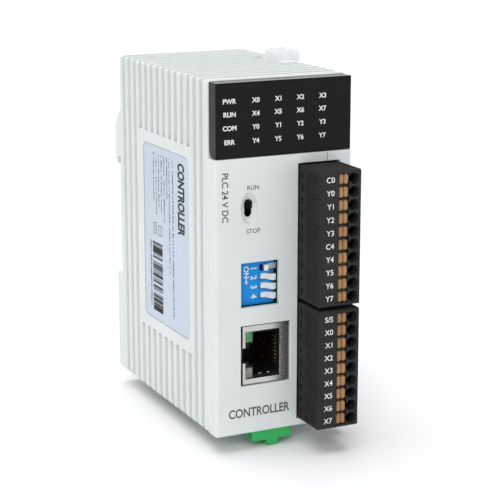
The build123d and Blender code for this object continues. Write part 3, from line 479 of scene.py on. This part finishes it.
# an arrow pointing along its own right, laid with that end down
arrow = np.array([(-1, 0.18), (0.1, 0.18), (0.1, 0.62), (1, 0), (0.1, -0.62), (0.1, -0.18), (-1, -0.18)])
arrowShape = (arrow * dipPrint["arrowHalf"] * mm, [[6, 5, 4, 3, 2, 1, 0]])
sheet.add(arrowShape, (wordX, dipLow.y - ink, dipHigh.z - dipPrint["arrowDrop"] * mm), -90)
sheet.lay("dipLegend", "whiteInk", "case")

polePrint = dict(letterHeight=1.5, boldness=0.02, x=7.2)
poleWords = {
    "terminal_upper": ("terminal_block_upper", ("C0", "Y0", "Y1", "Y2", "Y3", "C4", "Y4", "Y5", "Y6", "Y7"), 1),
    "terminal_lower": ("terminal_block_lower", ("S/S", "X0", "X1", "X2", "X3", "X4", "X5", "X6", "X7"), 11),
}
for body, (block, words, first) in poleWords.items():
    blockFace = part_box(block)[0].y
    sheet = PrintSheet(frontRight, frontUp)
    for index, word in enumerate(words):
        low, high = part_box(f"release_button_{first + index:02d}")
        shape = letterShape(word, polePrint["letterHeight"] * mm, polePrint["boldness"] * mm)
        sheet.add(shape, (polePrint["x"] * mm, blockFace - ink, (low.z + high.z) / 2))
    sheet.lay(body.replace("terminal", "legend"), "whiteInk", body)

# The rating label on the left flank reads downward: its right is -Z and its up is -Y.
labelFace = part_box("rating_label")[0].x - ink
labelPrint = dict(
    title=("CONTROLLER", 4.3, 20.0), titleY=-44.7, titleZ=13.0,
    lines=((-38.6, 23.0, -22.2, 0.9), (-36.2, 23.0, -9.5, 0.7), (-34.6, 23.0, 11.5, 0.75),
           (-32.6, 23.0, 4.6, 0.75), (-30.6, 23.0, 6.4, 0.9), (-28.7, 23.0, 8.0, 0.75), (-26.9, 23.0, 5.6, 0.75),
           (-25.1, 23.0, 9.5, 0.7)),
    barcode=(-31.2, -24.2, -2.6, -22.3, 58), thin=0.17, thick=0.42, titleBoldness=0.26, strokePitch=0.38,
    strokeHeights=(0.62, 0.78, 1.0), strokeWidths=(0.16, 0.2, 0.27), gapShare=0.13, broadStroke=0.2,
    foot=(0.34, 0.13, 0.1), thinShare=0.55, barGapShare=0.18, codeTextHeight=1.1, codeTextDrop=1.4,
    boxes=((-29.8, 1.4, 2.6, 2.4), (-26.0, 1.6, 3.0, 1.8)), boxLine=0.22)
seeds = np.random.default_rng(11)


def wordBars(lengthMm, heightMm):
    # a line of unreadable words: upright strokes of mixed height and width, with gaps where words end
    places = np.arange(0.0, lengthMm, labelPrint["strokePitch"])
    inked = seeds.random(len(places)) > labelPrint["gapShare"]
    tall = heightMm * seeds.choice(labelPrint["strokeHeights"], len(places))
    wide = seeds.choice(labelPrint["strokeWidths"], len(places))
    return list(zip(places[inked], wide[inked], tall[inked]))


sheet = PrintSheet((0, 0, -1), (0, -1, 0))
word, height, length = labelPrint["title"]
titleShape = letterShape(word, height * mm, labelPrint["titleBoldness"] * mm)
titleShape[0][:, 0] *= length * mm / np.ptp(titleShape[0][:, 0])
sheet.add(titleShape, (labelFace, labelPrint["titleY"] * mm, labelPrint["titleZ"] * mm))
footWidth, footHeight, footShift = labelPrint["foot"]
for lineY, startZ, endZ, height in labelPrint["lines"]:
    for place, width, tall in wordBars(startZ - endZ, height):
        middleY = (lineY - tall / 2) * mm
        sheet.add(barShape(width * mm, tall * mm), (labelFace, middleY, (startZ - place) * mm))
        if width > labelPrint["broadStroke"]:
            footZ = (startZ - place - footShift) * mm
            sheet.add(barShape(footWidth * mm, footHeight * mm), (labelFace, middleY, footZ))
frontEdgeY, backEdgeY, codeTopZ, codeLowZ, barCount = labelPrint["barcode"]
barPlaces = np.linspace(codeTopZ, codeLowZ, barCount)
barWidths = np.where(seeds.random(barCount) > labelPrint["thinShare"], labelPrint["thick"], labelPrint["thin"])
printed = seeds.random(barCount) > labelPrint["barGapShare"]
codeMiddleY, codeHeight = (frontEdgeY + backEdgeY) / 2, backEdgeY - frontEdgeY
for place, width in zip(barPlaces[printed], barWidths[printed]):
    sheet.add(barShape(width * mm, codeHeight * mm), (labelFace, codeMiddleY * mm, place * mm))
codeTextY = (backEdgeY + labelPrint["codeTextDrop"]) * mm
for place, width, tall in wordBars(codeTopZ - codeLowZ, labelPrint["codeTextHeight"]):
    sheet.add(barShape(width * mm, tall * mm), (labelFace, codeTextY, (codeTopZ - place) * mm))
line = labelPrint["boxLine"]
for boxY, boxZ, wide, tall in labelPrint["boxes"]:
    sides = ((0, tall / 2, wide, line), (0, -tall / 2, wide, line), (-wide / 2, 0, line, tall),
             (wide / 2, 0, line, tall), (0, 0, wide * 0.5, line))
    for right, up, width, height in sides:
        sheet.add(barShape(width * mm, height * mm), (labelFace, (boxY - up) * mm, (boxZ - right) * mm))
sheet.lay("labelPrint", "blackInk", "case")
print("lettering laid")


def tiled(name, points, faces, places, finish, body):
    # the same small surface set down at each place; all copies in one mesh
    count = len(points)
    copies = points[None] + np.asarray(places)[:, None]
    joined = np.concatenate([np.array(faces) + count * step for step in range(len(places))])
    piece = pieceFromArrays(name, copies.reshape(-1, 3), joined.tolist(), finish, body)
    piece.data.polygons.foreach_set("use_smooth", [True] * len(piece.data.polygons))


def gridFaces(rows, columns, closed=False, closedRows=False):
    # four-sided faces between neighbours on a grid; closed joins the last column to the first, closedRows the rows
    index = np.arange(rows * columns).reshape(rows, columns)
    if closed:
        index = np.concatenate([index, index[:, :1]], 1)
    if closedRows:
        index = np.concatenate([index, index[:1]], 0)
    quads = np.stack([index[:-1, :-1], index[:-1, 1:], index[1:, 1:], index[1:, :-1]], -1)
    return quads.reshape(-1, 4).tolist()


# Wire guides: a round-lipped black collar turned about Y, set a little inside each wire entry.
guideLook = dict(outer=1.36, inner=1.02, lip=0.22, depth=2.6, sunk=1.6, around=20, entryX=14.1)


def guideCollar():
    # radius and depth of a closed profile: outer wall, rounded lip of half a circle, inner wall, flat rear
    lipTurn = np.linspace(0, math.pi, 7)
    lipMiddle = (guideLook["outer"] + guideLook["inner"]) / 2
    half = (guideLook["outer"] - guideLook["inner"]) / 2
    radius = np.concatenate([[guideLook["outer"]], lipMiddle + half * np.cos(lipTurn), [guideLook["inner"]]])
    depth = np.concatenate([[guideLook["depth"]], -guideLook["lip"] * np.sin(lipTurn), [guideLook["depth"]]])
    turn = np.linspace(0, 2 * math.pi, guideLook["around"], endpoint=False)
    x = radius[:, None] * np.cos(turn)
    z = radius[:, None] * np.sin(turn)
    y = np.repeat(depth[:, None], len(turn), 1)
    return np.stack([x, y, z], -1).reshape(-1, 3) * mm, gridFaces(len(radius), len(turn), True, True)


collarPoints, collarFaces = guideCollar()
for body, (block, words, first) in poleWords.items():
    buttonBoxes = [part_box(f"release_button_{first + index:02d}") for index in range(len(words))]
    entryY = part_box(block)[0].y + guideLook["sunk"] * mm
    entries = [(guideLook["entryX"] * mm, entryY, (low.z + high.z) / 2) for low, high in buttonBoxes]
    tiled(body.replace("terminal", "wireGuides"), collarPoints, collarFaces, entries, "blackPlastic", body)


# Contact springs of the network socket's shield: leaf strips bowed into the mouth above and below.
leafLook = dict(width=1.5, length=5.2, bow=0.42, start=1.2, thick=0.12, places=(-0.9, 1.7), offset=5.94, steps=13)


def bowedLeaf(side):
    # height follows half a sine, raised to 1.5, along a closed strip of even thickness
    along = np.linspace(0, 1, leafLook["steps"])
    bow = leafLook["bow"] * np.sin(along * math.pi) ** 1.5
    path = np.stack([leafLook["start"] + along * leafLook["length"], -side * bow], -1)
    ring = np.array([(-1, 0), (1, 0), (1, 1), (-1, 1)], float)
    ring *= (leafLook["width"] / 2, -side * leafLook["thick"])
    x = np.repeat(ring[None, :, 0], len(along), 0)
    y = np.repeat(path[:, None, 0], 4, 1)
    z = path[:, None, 1] + ring[None, :, 1]
    ends = [[3, 2, 1, 0], [len(along) * 4 - 4 + k for k in range(4)]]
    faces = gridFaces(len(along), 4, True) + ends
    if side > 0:
        faces = [face[::-1] for face in faces]
    return np.stack([x, y, z], -1).reshape(-1, 3) * mm, faces


shieldLow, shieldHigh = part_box("rj45_shield")
bayMiddle = (shieldLow + shieldHigh) / 2
for side, label in ((1, "upper"), (-1, "lower")):
    leafPoints, leafFaces = bowedLeaf(side)
    leafZ = bayMiddle.z + side * leafLook["offset"] * mm
    leafPlaces = [(bayMiddle.x + x * mm, shieldLow.y, leafZ) for x in leafLook["places"]]
    tiled(f"{label}ShieldSprings", leafPoints, leafFaces, leafPlaces, "shieldSteel", "case")


# Marks left by ejector pins on the back of the case: rings standing a hair proud, turned about Y.
pinMarks = dict(radius=1.9, thick=0.09, around=32, round=8, backY=3.5,
                places=[(x, z) for z in (21.5, -26.0, -41.5) for x in (-14.0, 14.0)])


def pinRing():
    # torus: ring radius plus tube radius times cosine, tube radius times sine along Y
    tube = np.linspace(0, 2 * math.pi, pinMarks["round"], endpoint=False)
    turn = np.linspace(0, 2 * math.pi, pinMarks["around"], endpoint=False)
    radius = pinMarks["radius"] + pinMarks["thick"] * np.cos(tube)[:, None]
    x = radius * np.cos(turn)
    z = radius * np.sin(turn)
    y = np.repeat(pinMarks["thick"] * np.sin(tube)[:, None], len(turn), 1)
    return np.stack([x, y, z], -1).reshape(-1, 3) * mm, gridFaces(len(tube), len(turn), True, True)


ringPoints, ringFaces = pinRing()
ringPlaces = [(x * mm, pinMarks["backY"] * mm, z * mm) for x, z in pinMarks["places"]]
tiled("ejectorMarks", ringPoints, ringFaces, ringPlaces, "casePlastic", "case")
print("details made")


# Floor, lights and camera.

floorLook = dict(colour=(0.91, 0.915, 0.92), shade=0.985, patch=0.15, rough=0.7, specular=0.1,
                 flatRadius=1.1, bend=0.9, rise=0.96, reach=2.0, rows=121, gap=0.0002)


def makeFloor():
    # height over a square grid: flat inside a circle, then a circular arc rising all round like a shallow bowl
    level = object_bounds()[0].z - floorLook["gap"]
    bend = floorLook["bend"]
    line = np.linspace(-floorLook["reach"], floorLook["reach"], floorLook["rows"])
    x, y = np.meshgrid(line, line)
    out = np.clip(np.hypot(x, y) - floorLook["flatRadius"], 0, bend * floorLook["rise"])
    z = bend - np.sqrt(bend ** 2 - out ** 2) + level
    points = np.stack([x, y, z], -1).reshape(-1, 3)
    mesh = bpy.data.meshes.new("floor")
    mesh.from_pydata(points.tolist(), [], gridFaces(*x.shape))
    mesh.polygons.foreach_set("use_smooth", [True] * len(mesh.polygons))
    floor = bpy.data.objects.new("floor", mesh)
    bpy.context.scene.collection.objects.link(floor)
    material, tree, shader = newMaterial("paleFloor", floorLook["rough"])
    slow = noise(tree, objectPlace(tree), floorLook["patch"], 2.0)
    shade = tuple(channel * floorLook["shade"] for channel in floorLook["colour"])
    tree.links.new(mixColour(tree, slow, floorLook["colour"], shade), shader.inputs["Base Color"])
    shader.inputs["Specular IOR Level"].default_value = floorLook["specular"]
    mesh.materials.append(material)


def addLight(name, kind, place, aim, power, **settings):
    light = bpy.data.lights.new(name, kind)
    light.energy = power
    for key, value in settings.items():
        setattr(light, key, value)
    holder = bpy.data.objects.new(name, light)
    holder.location = place
    holder.rotation_euler = (Vector(aim) - Vector(place)).to_track_quat("-Z", "Y").to_euler()
    bpy.context.scene.collection.objects.link(holder)


makeFloor()
lightLook = dict(aim=(0, -0.03, 0), skyPlace=(-0.1, 0.05, 1.0), skyPower=2.4, skyAngle=60,
                 keyPlace=(-0.42, -0.65, 0.55), keyPower=0.8, keyAngle=24,
                 fillPlace=(0.8, -0.5, 0.2), fillPower=0.06, fillSize=0.6,
                 worldColour=(0.95, 0.97, 1.0), worldStrength=0.27)
for light in ("sky", "key"):
    addLight(f"{light}Light", "SUN", lightLook[f"{light}Place"], lightLook["aim"], lightLook[f"{light}Power"],
             angle=math.radians(lightLook[f"{light}Angle"]))
addLight("fillLight", "AREA", lightLook["fillPlace"], lightLook["aim"], lightLook["fillPower"],
         size=lightLook["fillSize"])

world = bpy.data.worlds.new("studio")
world.use_nodes = True
surround = world.node_tree.nodes["Background"]
surround.inputs["Color"].default_value = (*lightLook["worldColour"], 1)
surround.inputs["Strength"].default_value = lightLook["worldStrength"]
bpy.context.scene.world = world
bpy.context.scene.view_settings.view_transform = "Standard"

cameraLook = dict(azimuth=-25.698, elevation=13.612, distance=0.412752, target=(-0.009998, -0.067, 0.003077),
                  lens=113.87988, sensor=36, near=0.01)
azimuth, elevation = math.radians(cameraLook["azimuth"]), math.radians(cameraLook["elevation"])
flatBack = Vector((math.sin(azimuth), -math.cos(azimuth), 0)) * math.cos(elevation)
back = flatBack + Vector((0, 0, math.sin(elevation)))
cameraData = bpy.data.cameras.new("camera")
cameraData.sensor_width = cameraLook["sensor"]
cameraData.lens = cameraLook["lens"]
cameraData.clip_start = cameraLook["near"]
camera = bpy.data.objects.new("camera", cameraData)
camera.location = Vector(cameraLook["target"]) + back * cameraLook["distance"]
camera.rotation_euler = (-back).to_track_quat("-Z", "Y").to_euler()
bpy.context.scene.collection.objects.link(camera)
bpy.context.scene.camera = camera
print("stage ready")
